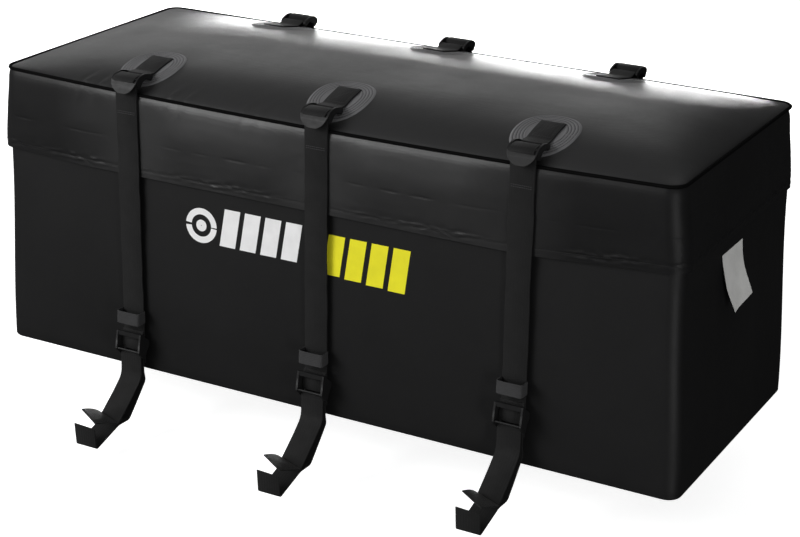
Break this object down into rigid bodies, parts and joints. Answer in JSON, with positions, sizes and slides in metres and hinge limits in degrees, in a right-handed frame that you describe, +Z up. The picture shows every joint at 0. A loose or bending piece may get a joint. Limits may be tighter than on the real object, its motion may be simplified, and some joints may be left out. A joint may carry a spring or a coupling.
{
  "type": "hitch cargo carrier bag",
  "caption": "Soft box-shaped weatherproof cargo bag for a hitch carrier, with a zipped lid, a rain flap, and buckled webbing straps that end in rail-wrapping jaws.",
  "frame": {"origin": "centre of the underside of the floor, where the bag rests on the carrier's deck", "axes": "+X along the bag's length, to the right as seen from its front; -Y out of the front; +Z up"},
  "size_m": [1.501, 0.9642, 0.7505],
  "materials": {
    "coated_fabric": "black PVC-coated polyester with a soft sheen and a fine woven texture",
    "patch_fabric": "welded coated fabric with rings of stitching, satin",
    "webbing": "black ribbed polypropylene webbing, matte",
    "keeper_webbing": "charcoal ribbed elastic webbing, matte",
    "binding": "black bound cord, matte",
    "zip_tape": "black woven tape with a coil",
    "label_cloth": "white satin label cloth, blank",
    "buckle_plastic": "black moulded acetal, semi-gloss",
    "zip_metal": "black enamelled zinc, semi-gloss"
  },
  "bodies": {
    "bag": {"body_wall": "coated_fabric", "floor_panel": "coated_fabric", "lower_zip_chain": "zip_tape", "rear_hinge_seam": "binding", "care_label": "label_cloth"},
    "lid": {"lid_panel": "coated_fabric", "lid_band": "coated_fabric", "rain_flap": "coated_fabric", "lid_piping": "binding", "upper_zip_chain": "zip_tape", "patch_front_left": "patch_fabric", "patch_front_mid": "patch_fabric", "patch_front_right": "patch_fabric", "patch_rear_left": "patch_fabric", "patch_rear_mid": "patch_fabric", "patch_rear_right": "patch_fabric", "tab_front_left": "webbing", "tab_front_mid": "webbing", "tab_front_right": "webbing", "tab_rear_left": "webbing", "tab_rear_mid": "webbing", "tab_rear_right": "webbing"},
    "zip_slider_left": {"zip_slider_left": "zip_metal"},
    "zip_pull_left": {"zip_pull_left": "zip_metal"},
    "zip_slider_right": {"zip_slider_right": "zip_metal"},
    "zip_pull_right": {"zip_pull_right": "zip_metal"},
    "top_buckle_front_left": {"top_buckle_front_left": "buckle_plastic"},
    "strap_front_left": {"strap_front_left": "webbing"},
    "keeper_front_left": {"keeper_front_left": "keeper_webbing"},
    "lower_buckle_front_left": {"lower_buckle_front_left": "buckle_plastic"},
    "tail_front_left": {"tail_front_left": "webbing"},
    "top_buckle_front_mid": {"top_buckle_front_mid": "buckle_plastic"},
    "strap_front_mid": {"strap_front_mid": "webbing"},
    "keeper_front_mid": {"keeper_front_mid": "keeper_webbing"},
    "lower_buckle_front_mid": {"lower_buckle_front_mid": "buckle_plastic"},
    "tail_front_mid": {"tail_front_mid": "webbing"},
    "top_buckle_front_right": {"top_buckle_front_right": "buckle_plastic"},
    "strap_front_right": {"strap_front_right": "webbing"},
    "keeper_front_right": {"keeper_front_right": "keeper_webbing"},
    "lower_buckle_front_right": {"lower_buckle_front_right": "buckle_plastic"},
    "tail_front_right": {"tail_front_right": "webbing"},
    "top_buckle_rear_left": {"top_buckle_rear_left": "buckle_plastic"},
    "strap_rear_left": {"strap_rear_left": "webbing"},
    "keeper_rear_left": {"keeper_rear_left": "keeper_webbing"},
    "lower_buckle_rear_left": {"lower_buckle_rear_left": "buckle_plastic"},
    "tail_rear_left": {"tail_rear_left": "webbing"},
    "top_buckle_rear_mid": {"top_buckle_rear_mid": "buckle_plastic"},
    "strap_rear_mid": {"strap_rear_mid": "webbing"},
    "keeper_rear_mid": {"keeper_rear_mid": "keeper_webbing"},
    "lower_buckle_rear_mid": {"lower_buckle_rear_mid": "buckle_plastic"},
    "tail_rear_mid": {"tail_rear_mid": "webbing"},
    "top_buckle_rear_right": {"top_buckle_rear_right": "buckle_plastic"},
    "strap_rear_right": {"strap_rear_right": "webbing"},
    "keeper_rear_right": {"keeper_rear_right": "keeper_webbing"},
    "lower_buckle_rear_right": {"lower_buckle_rear_right": "buckle_plastic"},
    "tail_rear_right": {"tail_rear_right": "webbing"}
  },
  "joints": [
    {"name": "lid_hinge", "type": "hinge", "parent": "bag", "child": "lid", "pos_m": [0, 0.291, 0.496], "axis": [-1, 0, 0], "range_deg": [0, 105]},
    {"name": "zip_left_slide", "type": "slide", "parent": "bag", "child": "zip_slider_left", "axis": [-1, 0, 0], "range_m": [0, 0.69]},
    {"name": "zip_left_pull", "type": "hinge", "parent": "zip_slider_left", "child": "zip_pull_left", "pos_m": [-0.011, -0.306, 0.492], "axis": [0, 1, 0], "range_deg": [0, 60]},
    {"name": "zip_right_slide", "type": "slide", "parent": "bag", "child": "zip_slider_right", "axis": [1, 0, 0], "range_m": [0, 0.69]},
    {"name": "zip_right_pull", "type": "hinge", "parent": "zip_slider_right", "child": "zip_pull_right", "pos_m": [0.011, -0.306, 0.492], "axis": [0, -1, 0], "range_deg": [0, 60]},
    {"name": "top_buckle_front_left_hinge", "type": "hinge", "parent": "lid", "child": "top_buckle_front_left", "pos_m": [-0.424, -0.262, 0.617], "axis": [-1, 0, 0], "range_deg": [0, 70]},
    {"name": "strap_front_left_swing", "type": "hinge", "parent": "top_buckle_front_left", "child": "strap_front_left", "pos_m": [-0.424, -0.30015, 0.608], "axis": [-1, 0, 0], "range_deg": [0, 28]},
    {"name": "lower_buckle_front_left_slide", "type": "slide", "parent": "strap_front_left", "child": "lower_buckle_front_left", "axis": [0, 0, 1], "range_m": [0, 0.04]},
    {"name": "keeper_front_left_slide", "type": "slide", "parent": "strap_front_left", "child": "keeper_front_left", "axis": [0, 0, 1], "range_m": [0, 0.04]},
    {"name": "tail_front_left_swing", "type": "hinge", "parent": "lower_buckle_front_left", "child": "tail_front_left", "pos_m": [-0.424, -0.315, 0.04], "axis": [-1, 0, 0], "range_deg": [0, 50]},
    {"name": "top_buckle_front_mid_hinge", "type": "hinge", "parent": "lid", "child": "top_buckle_front_mid", "pos_m": [0.01, -0.262, 0.617], "axis": [-1, 0, 0], "range_deg": [0, 70]},
    {"name": "strap_front_mid_swing", "type": "hinge", "parent": "top_buckle_front_mid", "child": "strap_front_mid", "pos_m": [0.01, -0.30015, 0.608], "axis": [-1, 0, 0], "range_deg": [0, 28]},
    {"name": "lower_buckle_front_mid_slide", "type": "slide", "parent": "strap_front_mid", "child": "lower_buckle_front_mid", "axis": [0, 0, 1], "range_m": [0, 0.04]},
    {"name": "keeper_front_mid_slide", "type": "slide", "parent": "strap_front_mid", "child": "keeper_front_mid", "axis": [0, 0, 1], "range_m": [0, 0.04]},
    {"name": "tail_front_mid_swing", "type": "hinge", "parent": "lower_buckle_front_mid", "child": "tail_front_mid", "pos_m": [0.01, -0.315, 0.048], "axis": [-1, 0, 0], "range_deg": [0, 50]},
    {"name": "top_buckle_front_right_hinge", "type": "hinge", "parent": "lid", "child": "top_buckle_front_right", "pos_m": [0.436, -0.262, 0.617], "axis": [-1, 0, 0], "range_deg": [0, 70]},
    {"name": "strap_front_right_swing", "type": "hinge", "parent": "top_buckle_front_right", "child": "strap_front_right", "pos_m": [0.436, -0.30015, 0.608], "axis": [-1, 0, 0], "range_deg": [0, 28]},
    {"name": "lower_buckle_front_right_slide", "type": "slide", "parent": "strap_front_right", "child": "lower_buckle_front_right", "axis": [0, 0, 1], "range_m": [0, 0.04]},
    {"name": "keeper_front_right_slide", "type": "slide", "parent": "strap_front_right", "child": "keeper_front_right", "axis": [0, 0, 1], "range_m": [0, 0.04]},
    {"name": "tail_front_right_swing", "type": "hinge", "parent": "lower_buckle_front_right", "child": "tail_front_right", "pos_m": [0.436, -0.315, 0.084], "axis": [-1, 0, 0], "range_deg": [0, 50]},
    {"name": "top_buckle_rear_left_hinge", "type": "hinge", "parent": "lid", "child": "top_buckle_rear_left", "pos_m": [-0.388, 0.262, 0.617], "axis": [1, 0, 0], "range_deg": [0, 105]},
    {"name": "strap_rear_left_swing", "type": "hinge", "parent": "top_buckle_rear_left", "child": "strap_rear_left", "pos_m": [-0.388, 0.30015, 0.608], "axis": [1, 0, 0], "range_deg": [0, 28]},
    {"name": "lower_buckle_rear_left_slide", "type": "slide", "parent": "strap_rear_left", "child": "lower_buckle_rear_left", "axis": [0, 0, 1], "range_m": [0, 0.04]},
    {"name": "keeper_rear_left_slide", "type": "slide", "parent": "strap_rear_left", "child": "keeper_rear_left", "axis": [0, 0, 1], "range_m": [0, 0.04]},
    {"name": "tail_rear_left_swing", "type": "hinge", "parent": "lower_buckle_rear_left", "child": "tail_rear_left", "pos_m": [-0.388, 0.315, 0.036], "axis": [1, 0, 0], "range_deg": [0, 50]},
    {"name": "top_buckle_rear_mid_hinge", "type": "hinge", "parent": "lid", "child": "top_buckle_rear_mid", "pos_m": [0, 0.262, 0.617], "axis": [1, 0, 0], "range_deg": [0, 105]},
    {"name": "strap_rear_mid_swing", "type": "hinge", "parent": "top_buckle_rear_mid", "child": "strap_rear_mid", "pos_m": [0, 0.30015, 0.608], "axis": [1, 0, 0], "range_deg": [0, 28]},
    {"name": "lower_buckle_rear_mid_slide", "type": "slide", "parent": "strap_rear_mid", "child": "lower_buckle_rear_mid", "axis": [0, 0, 1], "range_m": [0, 0.04]},
    {"name": "keeper_rear_mid_slide", "type": "slide", "parent": "strap_rear_mid", "child": "keeper_rear_mid", "axis": [0, 0, 1], "range_m": [0, 0.04]},
    {"name": "tail_rear_mid_swing", "type": "hinge", "parent": "lower_buckle_rear_mid", "child": "tail_rear_mid", "pos_m": [0, 0.315, 0.036], "axis": [1, 0, 0], "range_deg": [0, 50]},
    {"name": "top_buckle_rear_right_hinge", "type": "hinge", "parent": "lid", "child": "top_buckle_rear_right", "pos_m": [0.388, 0.262, 0.617], "axis": [1, 0, 0], "range_deg": [0, 105]},
    {"name": "strap_rear_right_swing", "type": "hinge", "parent": "top_buckle_rear_right", "child": "strap_rear_right", "pos_m": [0.388, 0.30015, 0.608], "axis": [1, 0, 0], "range_deg": [0, 28]},
    {"name": "lower_buckle_rear_right_slide", "type": "slide", "parent": "strap_rear_right", "child": "lower_buckle_rear_right", "axis": [0, 0, 1], "range_m": [0, 0.04]},
    {"name": "keeper_rear_right_slide", "type": "slide", "parent": "strap_rear_right", "child": "keeper_rear_right", "axis": [0, 0, 1], "range_m": [0, 0.04]},
    {"name": "tail_rear_right_swing", "type": "hinge", "parent": "lower_buckle_rear_right", "child": "tail_rear_right", "pos_m": [0.388, 0.315, 0.036], "axis": [1, 0, 0], "range_deg": [0, 50]}
  ],
  "couplings": [
    {"joint": "keeper_front_left_slide", "follows": "lower_buckle_front_left_slide", "ratio": 1},
    {"joint": "keeper_front_mid_slide", "follows": "lower_buckle_front_mid_slide", "ratio": 1},
    {"joint": "keeper_front_right_slide", "follows": "lower_buckle_front_right_slide", "ratio": 1},
    {"joint": "top_buckle_rear_left_hinge", "follows": "lid_hinge", "ratio": 1},
    {"joint": "keeper_rear_left_slide", "follows": "lower_buckle_rear_left_slide", "ratio": 1},
    {"joint": "top_buckle_rear_mid_hinge", "follows": "lid_hinge", "ratio": 1},
    {"joint": "keeper_rear_mid_slide", "follows": "lower_buckle_rear_mid_slide", "ratio": 1},
    {"joint": "top_buckle_rear_right_hinge", "follows": "lid_hinge", "ratio": 1},
    {"joint": "keeper_rear_right_slide", "follows": "lower_buckle_rear_right_slide", "ratio": 1}
  ]
}
